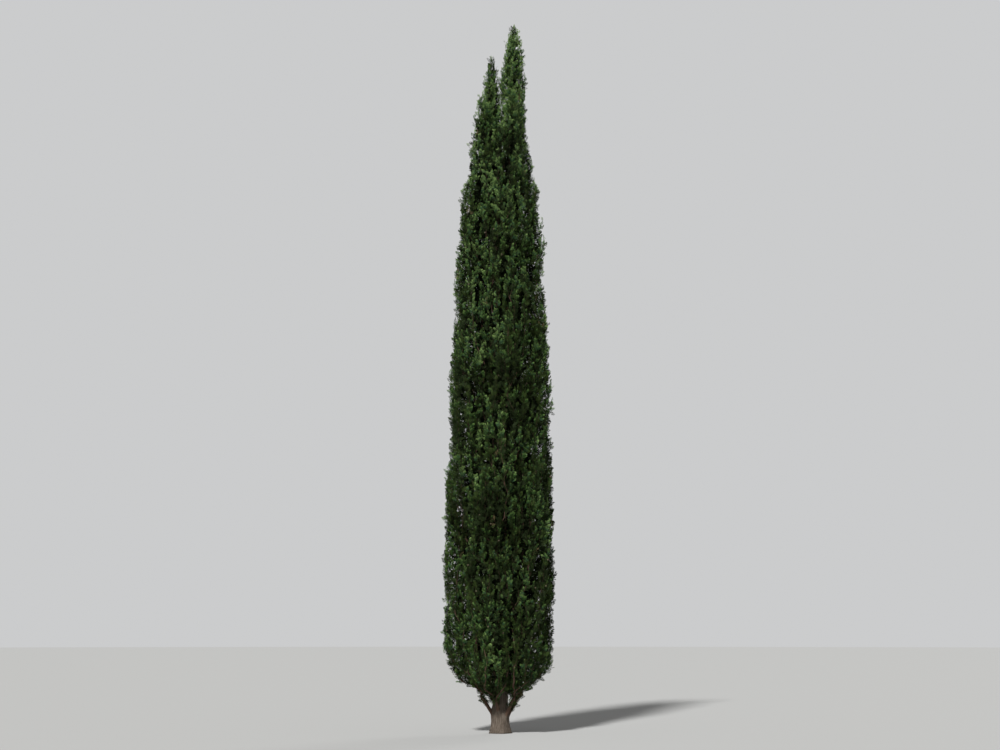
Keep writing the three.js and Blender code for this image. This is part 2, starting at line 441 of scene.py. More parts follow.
def limbOf(mass, rules):
    # the leading limb's line, up to just below the mass's tip
    inside = middleLine(mass, 9, 0.05)
    if not mass.endswith("tip"):
        shares = np.linspace(rules["inwards"], 0.0, len(inside))
        inside = [p.lerp(trunkAt(p.z), float(share)) for p, share in zip(inside, shares)]
    if mass == "foliage_main_tip":
        foot = [trunkAt(inside[0].z - rules["tipFoot"])]
    elif mass == "foliage_second_tip":
        foot = [inside[0] - up * rules["tipFoot"]]
    elif "skirt" in mass:
        bough = boughLine(mass[-1])
        middle = trunkAt(bough[0].z)
        foot = [middle.lerp(bough[0], share) - up * drop for share, drop in rules["boughFoot"]] + bough[1:]
    else:
        start = trunkAt(inside[0].z - rules["leaveBelow"])
        out, rise = rules["bend"]
        bend = start.lerp(inside[0], out)
        bend.z = start.z + rise * rules["leaveBelow"]
        foot = [start, bend]
    return smoothLine(foot + inside, rules["step"])


def limbRadius(mass, line, feed):
    # tapering from a collar at the trunk's face, and nowhere too thin for the twigs that it feeds
    thick, thin = limbRules["boughRadius" if "skirt" in mass else "radius"]
    along = np.linspace(0.0, 1.0, len(line))
    rising = np.cumsum([0.0] + [(b - a).length for a, b in zip(line, line[1:])])
    beyond = np.maximum(0.0, rising - float(np.interp(line[0].z, *limbRules["trunkRadius"])))
    swell = 1 + limbRules["collar"] * np.exp(-beyond / limbRules["collarLength"])
    return np.maximum(mix(thick, thin, along), twigRules["baseRadius"] * np.sqrt(feed)) * swell


limbs = {mass: limbOf(mass, limbRules) for mass in masses}
print("limbs", len(limbs))


# Growing points: where the leading shoots end, spread over the crown's outer face

shootRules = {
    "spacing": 0.134,  # metres between the tips of neighbouring shoots
    "tipSpacing": 0.105,  # on the two slim tips
    "innerSpacing": 0.20,  # and for the shaded shoots on a mass's hidden faces
    "inset": (-0.01, 0.06),  # how far below the crown's skin the shoots end
    "tipInset": (-0.01, 0.03),
    "innerInset": (0.02, 0.09),
    "tries": 6,  # random places for each shoot, of which the well spaced ones are kept
    "stray": 0.05,  # share of shoots that stand out of the skin
    "strayReach": (0.02, 0.07),
    "lean": (0.05, 0.45),  # outwards, for each metre up
    "sway": 0.1,  # any way, for each metre up
    "innerSway": 0.2,
    "room": Vector((0.07, 0.08, 0.008)),  # kept free for the sprays inside the frame's box
}


def facePoints(mass, spacing, rng, outwards):
    # evenly spread random points on the parts of a mass that look out of the crown, or on the others
    a, b, c = (solids[mass][:, k] for k in range(3))
    sides = np.cross(b - a, c - a)
    doubled = np.linalg.norm(sides, axis=1)
    count = int(doubled.sum() / 2 / spacing ** 2 * shootRules["tries"])
    chosen = rng.choice(len(a), count, p=doubled / doubled.sum())
    u, v = rng.random(count), rng.random(count)
    flip = u + v > 1
    u[flip], v[flip] = 1 - u[flip], 1 - v[flip]
    places = a[chosen] + u[:, None] * (b[chosen] - a[chosen]) + v[:, None] * (c[chosen] - a[chosen])
    facing = sides[chosen] / doubled[chosen][:, None]
    cells, kept = {}, []
    for place, normal in zip(places, facing):
        key = tuple(int(c // spacing) for c in place)
        near = [q for dx in (-1, 0, 1) for dy in (-1, 0, 1) for dz in (-1, 0, 1)
                for q in cells.get((key[0] + dx, key[1] + dy, key[2] + dz), ())]
        if any(((place - q) ** 2).sum() < spacing ** 2 for q in near):
            continue
        if facesOut(Vector(place), Vector(normal), mass) == outwards:
            cells.setdefault(key, []).append(place)
            kept.append((Vector(place), Vector(normal)))
    return kept


def insideBox(place):
    # the place, moved where it is too near the sides of the frame's box
    sides = zip(place, *cadBox, shootRules["room"])
    return Vector([min(max(c, low + room), high - room) for c, low, high, room in sides])


def growingPoints(mass, rules, seed):
    rng = np.random.default_rng(seed)
    found = []
    tip = mass.endswith("tip")
    for place, out in facePoints(mass, rules["innerSpacing"], rng, False):
        end = insideBox(place - out * rng.uniform(*rules["innerInset"]))
        lean = (up + Vector(rng.normal(0, rules["innerSway"], 3))).normalized()
        found.append({"tip": end, "lean": lean, "out": out, "shaded": True})
    for place, out in facePoints(mass, rules["tipSpacing" if tip else "spacing"], rng, True):
        if rng.random() < rules["stray"] and not tip:
            sink = -rng.uniform(*rules["strayReach"])
        else:
            sink = rng.uniform(*rules["tipInset" if tip else "inset"])
        lean = up + out * float(rng.uniform(*rules["lean"])) + Vector(rng.normal(0, rules["sway"], 3))
        found.append({"tip": insideBox(place - out * sink), "lean": lean.normalized(), "out": out,
                      "shaded": False})
    return sorted(found, key=lambda p: p["tip"].z)


# Branching rule: each growing point is fed by the nearest limb or twig below it, from which its own
# twig bends away steeply and turns upright

twigRules = {
    "rise": 0.20,  # a twig leaves at least this far below its tip
    "steepness": 1.1,  # rise for each metre of run, below which a start is disliked
    "dislike": 2.5,
    "deep": 0.13,  # starts less deep than this below the crown's skin are disliked too
    "dislikeShallow": 3.0,
    "curve": (0.35, 0.38),  # shares of its length for which it keeps its first and its last direction
    "pointStep": 0.075,
    "budShare": 0.62,  # the part of a twig from which others can leave
    "baseRadius": 0.0021,  # of a twig that feeds one shoot
    "taper": 0.6,  # radius at a twig's tip, as a share of its foot's
    "woody": 0.0085,  # radius from which a twig counts as a bough and has bark
    "stalk": 0.0014,  # radius of the twigs to cones and to single sprays
}


def bezier(a, b, c, d, t):
    s = 1 - t
    return a * (s ** 3) + b * (3 * s * s * t) + c * (3 * s * t * t) + d * (t ** 3)


def shallowness(place):
    return max(0.0, twigRules["deep"] + outside(place)[0])


def growTwigs(limb, points, rules):
    # the limb and its twigs as lines of points, each with the number of shoots that it feeds there
    lines, parents = [limb], [None]
    buds = [(p, 0, i, shallowness(p)) for i, p in enumerate(limb[:-1]) if i > 0]
    for point in points:
        tip = point["tip"]
        way = np.array(tip) - np.array([b[0] for b in buds])
        run = np.hypot(way[:, 0], way[:, 1])
        shortfall = np.maximum(0, run * rules["steepness"] + rules["rise"] - way[:, 2])
        shallow = np.array([b[3] for b in buds])
        cost = np.linalg.norm(way, axis=1) + rules["dislike"] * shortfall + rules["dislikeShallow"] * shallow
        start, line, index, _ = buds[int(np.argmin(cost))]
        growth = (start - lines[line][max(index - 1, 0)]).normalized() if index else up
        length = (tip - start).length
        leave = (growth + (tip - start).normalized()).normalized()
        first, last = rules["curve"]
        controls = (start, start + leave * length * first, tip - point["lean"] * length * last, tip)
        count = max(4, math.ceil(length / rules["pointStep"]))
        twig = [bezier(*controls, k / count) for k in range(count + 1)]
        lines.append(twig)
        parents.append((line, index))
        point["controls"], point["length"] = controls, length
        end = int(count * rules["budShare"])
        buds += [(twig[k], len(lines) - 1, k, shallowness(twig[k])) for k in range(1, end + 1)]
    feeds = [np.ones(len(line)) for line in lines]
    for k in range(len(lines) - 1, 0, -1):
        line, index = parents[k]
        feeds[line][:index + 1] += feeds[k][0]
    return lines, feeds


def addLine(store, line, **values):
    # keeps a line of points in a store with its values: each one number, or one for each point
    store.setdefault("lines", []).append(line)
    for name, value in values.items():
        store.setdefault(name, []).append(np.broadcast_to(value, len(line)))


def lineMesh(name, lines, **attributes):
    # a store's lines as one mesh of edges, with a number on each point for each attribute
    points = np.array([tuple(p) for line in lines for p in line], np.float32)
    ends = np.cumsum([len(line) for line in lines])
    first = np.arange(len(points) - 1)
    first = first[~np.isin(first, ends - 1)]
    mesh = newMesh(name, points, np.stack([first, first + 1], 1).tolist(), [])
    for key, values in attributes.items():
        made = mesh.attributes.new(key, "FLOAT", "POINT")
        made.data.foreach_set("value", np.concatenate(values).astype(np.float32))
    return mesh


# Geometry Nodes

lineAttributes = ("along", "tone", "layer", "size", "spacing", "thickness", "tint", "tip", "rising", "rim")


def newTree(name, sockets):
    # a Geometry Nodes tree with these named inputs, and the function that adds its nodes
    tree = bpy.data.node_groups.new(name, "GeometryNodeTree")
    tree.interface.new_socket("Geometry", in_out="OUTPUT", socket_type="NodeSocketGeometry")
    for label, kind in {"Geometry": "Geometry", **sockets}.items():
        tree.interface.new_socket(label, in_out="INPUT", socket_type="NodeSocket" + kind)
    inputs = tree.nodes.new("NodeGroupInput").outputs
    return tree, {socket.name: socket for socket in inputs}, partial(addNode, tree)


def grown(name, mesh, tree, inputs):
    # runs the tree on the lines and keeps the result as a plain mesh
    source = linkObject(name + "_lines", mesh)
    modifier = source.modifiers.new("grow", "NODES")
    modifier.node_group = tree
    keys = {item.name: item.identifier for item in tree.interface.items_tree if item.in_out == "INPUT"}
    for label, value in inputs.items():
        modifier[keys[label]] = value
    depsgraph = bpy.context.evaluated_depsgraph_get()
    result = bpy.data.meshes.new_from_object(source.evaluated_get(depsgraph), depsgraph=depsgraph)
    source.modifiers.remove(modifier)
    bpy.data.objects.remove(source)
    bpy.data.meshes.remove(mesh)
    result.name = name
    for spare in [a.name for a in result.attributes if a.name in lineAttributes]:
        result.attributes.remove(result.attributes[spare])
    return linkObject(name, result)


def endTree(add, geometry, coats):
    # real geometry with its materials, each with the part that takes it
    geometry = add("GeometryNodeRealizeInstances", {"Geometry": geometry})
    for chosen, material in coats:
        geometry = add("GeometryNodeSetMaterial", {"Geometry": geometry, "Selection": chosen,
                                                   "Material": material})
    add("NodeGroupOutput", {"Geometry": geometry})


def limbTree():
    # a round limb along each line, as thick as its radius says, with its bark in relief
    tree, inputs, add = newTree("limbAlongLine", {"Sides": "Int", "Relief": "Float", "Strip Width": "Float",
                                                  "Strip Length": "Float", "Bark": "Material"})
    curve = add("GeometryNodeMeshToCurve", {"Mesh": inputs["Geometry"]})
    rising = add("GeometryNodeSplineParameter").node.outputs["Length"]
    ring = add("GeometryNodeCurvePrimitiveCircle", {"Resolution": inputs["Sides"], "Radius": 1.0})
    corner = add("GeometryNodeInputPosition")
    measured, rim = (
        add("GeometryNodeStoreNamedAttribute", {"Geometry": source, "Name": name, "Value": value},
            data_type=kind, domain="POINT")
        for source, name, value, kind in ((curve, "rising", rising, "FLOAT"),
                                          (ring, "rim", corner, "FLOAT_VECTOR")))
    radius, onLine, onRim = (
        add("GeometryNodeInputNamedAttribute", {"Name": name}, data_type=kind)
        for name, kind in (("thickness", "FLOAT"), ("rising", "FLOAT"), ("rim", "FLOAT_VECTOR")))
    tube = add("GeometryNodeCurveToMesh", {"Curve": measured, "Profile Curve": rim, "Scale": radius,
                                           "Fill Caps": True})

    # a place on the bark: the two ways across the limb, and the length along it
    sideways = add("ShaderNodeVectorMath", {0: onRim, "Scale": radius}, operation="SCALE")
    lengthwise = add("ShaderNodeCombineXYZ", {"Z": onLine})
    place = add("ShaderNodeVectorMath", {0: sideways, 1: lengthwise}, operation="ADD")
    marked = add("GeometryNodeStoreNamedAttribute", {"Geometry": tube, "Name": "barkPlace", "Value": place},
                 data_type="FLOAT_VECTOR", domain="POINT")

    # the strips of bark stand out from it by a share of the limb's radius
    across, along = (add("ShaderNodeMath", {0: 1.0, 1: inputs[label]}, operation="DIVIDE")
                     for label in ("Strip Width", "Strip Length"))
    scale = add("ShaderNodeCombineXYZ", {"X": across, "Y": across, "Z": along})
    strips = add("ShaderNodeVectorMath", {0: place, 1: scale}, operation="MULTIPLY")
    grain = add("ShaderNodeTexNoise", {"Vector": strips, "Scale": 1.0, "Detail": 2.0})
    push = add("ShaderNodeMath", {0: grain, 1: 0.5}, operation="SUBTRACT")
    for factor in (inputs["Relief"], radius):
        push = add("ShaderNodeMath", {0: push, 1: factor}, operation="MULTIPLY")
    normal = add("GeometryNodeInputNormal")
    offset = add("ShaderNodeVectorMath", {0: normal, "Scale": push}, operation="SCALE")
    raised = add("GeometryNodeSetPosition", {"Geometry": marked, "Offset": offset})
    rounded = add("GeometryNodeSetShadeSmooth", {"Geometry": raised})
    endTree(add, rounded, [(True, inputs["Bark"])])
    return tree


# what the spray tree works out for each spray: the operation, then its terms, each a number or a name
sprayMath = {
    # its turn round the shoot, and how far it leans out: less towards the tip, more inside the crown
    "about": ("MULTIPLY", "order", math.radians(137.5)),  # a golden angle further each time
    "near": ("POWER", "along", "Closing"),
    "open": ("SUBTRACT", 1.0, "near"),
    "widest": ("MULTIPLY_ADD", "layer", "Wider Inside", "Spread"),
    "spread": ("MULTIPLY", "open", "widest"),
    "tilt": ("MULTIPLY", "spread", "uneven"),
    # its size
    "fewer": ("MULTIPLY", "along", "Tip Smaller"),
    "left": ("SUBTRACT", 1.0, "fewer"),
    "grown": ("MULTIPLY", "left", "varied"),
    "scale": ("MULTIPLY", "grown", "size"),
    # one of its layer's shapes
    "which": ("ADD", "any", "layer"),
    "shape": ("MULTIPLY", "which", "Kinds In A Layer"),
    "pick": ("FLOOR", "shape"),
    # its tint: from its shoot's tone, a little by chance, and lighter towards the tip
    "lighter": ("MULTIPLY_ADD", "along", 0.14, "byChance"),
    "shade": ("MULTIPLY_ADD", "tone", 0.8, "lighter"),
    "number": ("MULTIPLY", "shade", tintCount - 1.0),
    "whole": ("FLOOR", "number"),
    "notLess": ("MAXIMUM", "whole", 0.0),
    "isBrown": ("GREATER_THAN", "tone", 1.5),
    "ceiling": ("ADD", "isBrown", tintCount - 2.0),
    "ownTint": ("MINIMUM", "notLess", "ceiling"),
    "tint": ("MULTIPLY_ADD", "layer", layerStep, "ownTint"),
}


def sprayTree():
    # leaf sprays set round each shoot in turn, spreading at its foot and closing at its tip
    tree, inputs, add = newTree("spraysRoundShoot", {
        "Sprays": "Collection", "Kinds In A Layer": "Int", "Spread": "Float", "Wider Inside": "Float",
        "Closing": "Float", "Size Variation": "Float", "Tip Smaller": "Float", "Seed": "Int"})
    values = {key: add("GeometryNodeInputNamedAttribute", {"Name": key}, data_type="FLOAT")
              for key in ("along", "tone", "layer", "size", "spacing", "tint", "tip")}
    stored = values.pop("tint")
    values.update(inputs, order=add("GeometryNodeInputIndex"))
    curve = add("GeometryNodeMeshToCurve", {"Mesh": inputs["Geometry"]})
    stations = add("GeometryNodeCurveToPoints", {"Curve": curve, "Length": values["spacing"]}, mode="LENGTH")
    least, most = (add("ShaderNodeMath", {0: 1.0, 1: inputs["Size Variation"]}, operation=operation)
                   for operation in ("SUBTRACT", "ADD"))
    chances = {"uneven": (0.7, 1.3), "roll": (-1.4, 1.4), "varied": (least, most), "any": (0.0, 0.9999),
               "byChance": (-0.2, 0.2)}
    for k, (name, (low, high)) in enumerate(chances.items()):
        seed = add("ShaderNodeMath", {0: inputs["Seed"], 1: float(k)}, operation="ADD")
        values[name] = add("FunctionNodeRandomValue", {"Min": low, "Max": high, "Seed": seed},
                           data_type="FLOAT")
    for name, (operation, *terms) in sprayMath.items():
        terms = {k: values.get(term, term) for k, term in enumerate(terms)}
        values[name] = add("ShaderNodeMath", terms, operation=operation)

    # each spray leans out of the shoot's direction, and is rolled about its own stem
    facing = add("FunctionNodeAlignRotationToVector", {"Vector": stations.node.outputs["Tangent"]}, axis="Z")
    for axis, angle in (((0, 0, 1), "about"), ((1, 0, 0), "tilt"), ((0, 0, 1), "roll")):
        turn = add("FunctionNodeAxisAngleToRotation", {"Axis": axis, "Angle": values[angle]})
        facing = add("FunctionNodeRotateRotation", {"Rotation": facing, "Rotate By": turn},
                     rotation_space="LOCAL")
    shapes = add("GeometryNodeCollectionInfo", {"Collection": inputs["Sprays"], "Separate Children": True,
                                                "Reset Children": True})
    placed = add("GeometryNodeInstanceOnPoints", {
        "Points": stations, "Instance": shapes, "Pick Instance": True, "Instance Index": values["pick"],
        "Rotation": facing, "Scale": values["scale"]})
    tinted = add("GeometryNodeStoreNamedAttribute", {
        "Geometry": placed, "Name": "tint", "Value": values["tint"]}, data_type="FLOAT", domain="INSTANCE")
    coats = []
    for material, low, high, onlyTips in leafChoices:
        tests = [(stored, low, "GREATER_THAN"), (stored, high, "LESS_THAN")]
        if onlyTips:
            tests.append((values["tip"], 0.5, "GREATER_THAN"))
        chosen, *others = (add("FunctionNodeCompare", {"A": value, "B": limit}, operation=operation)
                           for value, limit, operation in tests)
        for passed in others:
            chosen = add("FunctionNodeBooleanMath", {0: chosen, 1: passed}, operation="AND")
        coats.append((chosen, material))
    endTree(add, tinted, coats)
    return tree


# Leaf sprays: cords of scale leaves left and right of a stem, each with short side fingers.
# The real cords are 1 to 2 mm wide and too fine for the count, so fewer and larger ones are drawn.

sprayLook = {
    "length": 0.122,
    "sway": 0.12,  # of the stem, sideways for each metre up
    "stem": (0.85, 0.6),  # shares of the length and of a cord's width
    "sprigs": 4,
    "sprigPlace": (0.1, 0.5),  # in its own part of the stem
    "sprigsOn": (0.10, 0.66),  # where the stem's leafy part begins, and its share of the length
    "sprigLength": 0.071,
    "sprigShare": (1.05, 0.4),  # of that length at the foot, and how much less towards the tip
    "sprigAngle": 33,  # degrees from the stem
    "sprigVary": (0.8, 1.15),  # times that angle
    "fingers": ((0.18, 1), (0.42, -1)),  # place along a sprig, and side
    "fingerAngle": 34,
    "fingerVary": (0.8, 1.2),
    "fingerLength": 0.6,  # of its sprig's length
    "fingerWidth": 0.8,  # of a cord's
    "vary": (0.85, 1.15),  # lengths
    "tip": (0.68, 0.34),  # place and length of the last cord, as shares of the length
    "cordWidth": 0.0128,
    "blunt": 0.72,  # where along a cord it is widest
    "slant": 0.8,  # where along a finger its slanting tip begins
    "fold": 0.22,  # how far a cord's two sides fold up, as a share of its width
    "curl": 34,  # degrees that sprigs stand out of the spray's plane
}
insideLook = {**sprayLook, "length": 0.15, "sprigLength": 0.088, "cordWidth": 0.0215, "sprigAngle": 44,
              "fingers": ((0.2, 1), (0.45, -1)), "curl": 50}
coreLook = {**sprayLook, "length": 0.25, "sprigLength": 0.15, "cordWidth": 0.055, "sprigAngle": 50,
            "fingers": ((0.3, -1),), "curl": 75}
kindsInALayer = 4


def sprayMesh(name, look, seed):
    rng = random.Random(seed)
    points, faces, tips = [], [], []
    front = Vector((0, 1, 0))

    # corners along a leaf, to its side and in front, as shares of its length, half width and width
    cord = ((0, 0, 0), (look["blunt"], 1, look["fold"]), (1, 0, 0), (look["blunt"], -1, look["fold"]))
    finger = ((0, 0, 0), (look["slant"], 1, 0), (1, -1, 0))

    def addLeaf(corners, start, way, length, width, young):
        across = way.cross(front).normalized() * width / 2
        first = len(points)
        points.extend(start + way * length * a + across * b + front * width * c for a, b, c in corners)
        for k in range(first + 1, len(points) - 1):
            faces.append((first, k, k + 1))
            tips.append(float(young))

    sway, width = look["sway"], look["cordWidth"]
    stem = Vector((rng.uniform(-sway, sway), rng.uniform(-sway, sway), 1)).normalized()
    share, thin = look["stem"]
    addLeaf(finger, Vector((0, 0, 0)), stem, look["length"] * share, width * thin, False)
    for k in range(look["sprigs"]):
        share = (k + rng.uniform(*look["sprigPlace"])) / look["sprigs"]
        side = 1 if (k + seed) % 2 else -1
        way = turnAbout(stem, front, side * look["sprigAngle"] * rng.uniform(*look["sprigVary"]))
        way = turnAbout(way, stem, rng.uniform(-1, 1) * look["curl"])
        start = stem * look["length"] * (look["sprigsOn"][0] + look["sprigsOn"][1] * share)
        most, less = look["sprigShare"]
        length = look["sprigLength"] * (most - less * share) * rng.uniform(*look["vary"])
        young = share > 0.5
        addLeaf(cord, start, way, length, width, young)
        for place, turn in look["fingers"]:
            angle = side * turn * look["fingerAngle"] * rng.uniform(*look["fingerVary"])
            reach = length * look["fingerLength"] * rng.uniform(*look["vary"])
            addLeaf(finger, start + way * length * place, turnAbout(way, front, angle), reach,
                    width * look["fingerWidth"], young and place > 0.3)
    place, length = look["tip"]
    addLeaf(cord, stem * look["length"] * place, stem, look["length"] * length, width, True)
    mesh = newMesh(name, [tuple(p) for p in points], [], faces)
    mesh.attributes.new("tip", "FLOAT", "FACE").data.foreach_set("value", tips)
    return mesh


sprays = bpy.data.collections.new("spray shapes")
for layer, look in enumerate((sprayLook, insideLook, coreLook)):
    for k in range(kindsInALayer):
        shape = f"spray_{layer}_{k}"
        sprays.objects.link(bpy.data.objects.new(shape, sprayMesh(shape, look, 10 * layer + k)))


# Shoots: the leafy end of each twig, with two to four side shoots, older growth further in, and cones

toneRules = {  # from 0, dark, to 1, fresh
    "middle": 0.33,
    "drifts": ((1.3, 0.5), (4.0, 0.4)),  # over the crown: how quickly, for each metre, and how much
    "variation": 0.16,  # from shoot to shoot
    "paintedLightFrom": 6.2,  # height above which the tone is raised as painted light, so the upper crown looks more lit
    "lighter": 0.11,  # for each metre above it
    "sideVariation": 0.06,
    "brown": 2.0,  # stands for a withered side shoot
    "older": 0.6,  # of the shoot's tone, further back along its twig
    "onLimb": 0.3,
}
leafyRules = {
    "leafyLength": 0.24,
    "leafyFrom": 0.15,  # least share of the twig below it
    "sideShoots": (2, 4),
    "sideFrom": (0.05, 0.62),  # shares of the leafy length
    "sideLength": (0.07, 0.13),
    "sideAngle": 28,
    "sideVary": (0.7, 1.2),  # times that angle
    "sideBend": 0.45,  # where along them they start to turn
    "sideRise": 0.5,  # how far they turn back along the shoot
    "sideSize": 0.85,
    "spacing": 0.042,  # metres between sprays along a shoot
    "clearance": 0.012,  # how far side shoots stay below the crown's skin
    "brownShare": 0.010,  # of the side shoots
    "olderFrom": 0.7,  # of the leafy length, back from the tip
    "olderUpTo": 0.04,  # metres from the twig's foot
    "insideSpacing": 0.062,
    "insideDepth": 0.05,  # least depth below the skin
    "coreDepth": 0.16,  # from which a twig carries the large sprays of the core
    "fullFrom": (0.0, 0.09, 0.25),  # depth from which each layer's sprays are full-sized
    "coreApart": 1.4,  # how much wider apart these are
    "limbFrom": 0.25,  # height above a limb's foot where its own sprays begin
    "limbCore": 0.45,  # share of full size from which they are core sprays
    "coreSpacing": 0.022,  # along the limbs and the trunk
    "limbSpacing": 0.018,  # of the fine sprays that hide a limb near the skin
    "stub": 0.02,  # length of a line that carries only one spray
    "single": 1.0,  # and its spacing, far longer
}
sprayGrowth = {"Spread": math.radians(33), "Wider Inside": math.radians(12), "Closing": 1.6,
               "Size Variation": 0.18, "Tip Smaller": 0.35}
coneLook = {
    "share": 0.045,  # of the shoots have a cluster
    "inCluster": (1, 4),
    "heights": (1.2, 10.0),
    "radius": (0.012, 0.017),
    "stalk": 0.010,
    "behindTip": (0.07, 0.17),
    "leastShare": 0.3,  # of the twig below them
    "round": 80,  # degrees round the twig, to each side
    "apart": 0.03,  # along it, to each side
    "rise": 0.4,  # how far they turn up along it
    "groove": 0.84,  # radius in the joints between plates, as a share of the plates' own
    "longer": 1.15,
    "turn": (0.9, 0.9, 6.28),  # most that a cone is turned
}


def clamped(value):
    return min(max(value, 0.0), 1.0)


def toneAt(place, rng):
    drift = sum(noise.noise(place * waves) * much for waves, much in toneRules["drifts"])
    # painted light: above a set height the tone rises each metre, so the upper crown looks lit more strongly
    lighter = toneRules["lighter"] * max(0.0, place.z - toneRules["paintedLightFrom"])
    return clamped(toneRules["middle"] + drift + rng.gauss(0, toneRules["variation"]) + lighter)


def placeOn(point, share):
    # a place on a shoot's twig, and the way that it grows there
    base, ahead = (bezier(*point["controls"], t) for t in (share, share + 0.02))
    return base, (ahead - base).normalized()


def clusterOfCones(point, look, twigs, rng):
    # some cones near a shoot, with the stalks that they hang on
    back = rng.uniform(*look["behindTip"])
    base, growth = placeOn(point, max(look["leastShare"], 1 - back / point["length"]))
    if not look["heights"][0] < base.z < look["heights"][1]:
        return
    found = []
    for _ in range(rng.randint(*look["inCluster"])):
        radius = rng.uniform(*look["radius"])
        way = turnAbout(point["out"], growth, rng.uniform(-look["round"], look["round"]))
        foot = base + growth * rng.uniform(-look["apart"], look["apart"])
        place = foot + (way + growth * look["rise"]).normalized() * (radius + look["stalk"])
        if all((place - other).length > radius + size for other, size in found):
            found.append((place, radius))
            addLine(cones, [place], size=radius)
            addWood(twigs, [foot, foot.lerp(place, 0.5), place], twigRules["stalk"])


def sideShoot(leader, tone, rules, rng):
    # a short shoot off a leading one, ending just below the crown's skin, and its tone
    growth = (leader[-1] - leader[0]).normalized()
    base = leader[0].lerp(leader[-1], rng.uniform(*rules["sideFrom"]))
    away = turnAbout(growth, growth.orthogonal(), rules["sideAngle"] * rng.uniform(*rules["sideVary"]))
    away = turnAbout(away, growth, rng.uniform(0, 360))
    length = rng.uniform(*rules["sideLength"])
    end = base + (away + growth * rules["sideRise"]).normalized() * length
    beyond, out = outside(end)
    end = insideBox(end - out * max(0.0, beyond + rules["clearance"]))
    tone = clamped(tone + rng.gauss(0, toneRules["sideVariation"]))
    if rng.random() < rules["brownShare"]:
        tone = toneRules["brown"]
    return [base, base + away * length * rules["sideBend"], end], tone


def addSprays(store, line, along, tone, layer, size, spacing):
    # a line that carries sprays, with what they need to know
    addLine(store, line, along=along, tone=tone, layer=layer, size=size, spacing=spacing)


def leafyLines(mass, lines, points, rules, seed):
    rng = random.Random(seed)
    made = {}
    for point in points:
        tone = toneAt(point["tip"], rng)
        start = max(rules["leafyFrom"], 1 - rules["leafyLength"] / point["length"])
        leader = [bezier(*point["controls"], mix(start, 1.0, k / 4)) for k in range(5)]
        along = np.linspace(0, 1, len(leader))
        if point["shaded"]:
            hidden = -outside(point["tip"])[0] > rules["insideDepth"]
            addSprays(made, leader, along, 0 if hidden else tone, int(hidden), 1, rules["insideSpacing"])
            continue
        addSprays(made, leader, along, tone, 0, 1, rules["spacing"])
        for _ in range(rng.randint(*rules["sideShoots"])):
            shoot, sideTone = sideShoot(leader, tone, rules, rng)
            addSprays(made, shoot, (0, 0.5, 1), sideTone, 0, rules["sideSize"], rules["spacing"])
        back = rules["leafyLength"] * rules["olderFrom"]
        while back < point["length"] - rules["olderUpTo"]:
            base, growth = placeOn(point, 1 - back / point["length"])
            depth = -outside(base)[0]
            if depth > rules["coreDepth"]:
                layer = 2
            else:
                layer = int(depth > rules["insideDepth"] and not mass.endswith("tip"))
            size = min(1.0, depth / rules["fullFrom"][layer]) if layer else 1
            stub = [base, base + growth * rules["stub"]]
            addSprays(made, stub, 0, tone * toneRules["older"], layer, size, rules["single"])
            back += rules["insideSpacing"] * (rules["coreApart"] if layer == 2 else 1.0)
    low, high = (pick(p["tip"].z for p in points) for pick in (min, max))
    for limb in (lines[0], [p for p in stemOf.get(mass, ()) if low < p.z < high]):
        sizes = [clamped(-outside(p)[0] / rules["fullFrom"][2]) for p in limb]
        first = next((k for k, p in enumerate(limb) if p.z > limb[0].z + rules["limbFrom"]), 1)
        for k in range(first, len(limb) - 1):
            if sizes[k] > rules["limbCore"]:
                addSprays(made, limb[k:k + 2], 0, 0, 2, sizes[k], rules["coreSpacing"])
            else:
                addSprays(made, limb[k:k + 2], 0, toneRules["onLimb"], 0, 1, rules["limbSpacing"])
    return lineMesh("leafy lines", **made)


leaderLine = smoothLine([trunkAt(6.62)] + middleLine("second_leader", 14, 0.02), limbRules["step"])
# the masses that carry the sprays along the trunk and the second leader
stemOf = {"foliage_skirt_1": trunkLine, "foliage_lower_1": trunkLine, "foliage_middle_1": trunkLine,
          "foliage_upper_1": trunkLine, "foliage_upper_2": leaderLine}
sprayMaker, limbMaker = sprayTree(), limbTree()
twigGrowth = {"Sides": 3, "Relief": 0.0, "Strip Width": 0.01, "Strip Length": 0.1, "Bark": twigWood}
boughGrowth = {"Sides": 6, "Relief": 0.45, "Strip Width": 0.009, "Strip Length": 0.12, "Bark": boughBark}
lowBoughGrowth = {**boughGrowth, "Sides": 18}
leaderGrowth = {**boughGrowth, "Sides": 16, "Strip Width": 0.012}
wood, cones = {}, {}
leafPieces = []
woodLines = [trunkLine, leaderLine]


def growLeaves(name, mesh, seed):
    return grown(name, mesh, sprayMaker, {
        "Sprays": sprays, "Kinds In A Layer": kindsInALayer, "Seed": seed, **sprayGrowth})


def addWood(name, line, thickness):
    addLine(wood.setdefault(name, {}), line, thickness=thickness)


def growMass(number, mass):
    points = growingPoints(mass, shootRules, 100 + number)
    lines, feeds = growTwigs(limbs[mass], points, twigRules)
    twigs = "twigs_" + mass.split("_")[1]
    limbName = "bough_bark_" + mass[-1] if "skirt" in mass else "inner_boughs"
    addWood(limbName, lines[0], limbRadius(mass, lines[0], feeds[0]))
    for line, feed in zip(lines[1:], feeds[1:]):
        taper = np.linspace(1.0, twigRules["taper"], len(line))
        radius = twigRules["baseRadius"] * np.sqrt(feed) * taper
        addWood("inner_boughs" if radius[0] > twigRules["woody"] else twigs, line, radius)
    rng = random.Random(700 + number)
    for point in points:
        if rng.random() < coneLook["share"] and not point["shaded"]:
            clusterOfCones(point, coneLook, twigs, rng)
    leafy = leafyLines(mass, lines, points, leafyRules, 300 + number)
    leaves = growLeaves(mass.replace("foliage", "leaves"), leafy, number)
    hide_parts(mass)
    leafPieces.append(leaves)
    woodLines.extend(lines)
    print(mass, len(points), "shoots", len(leaves.data.polygons), "faces")


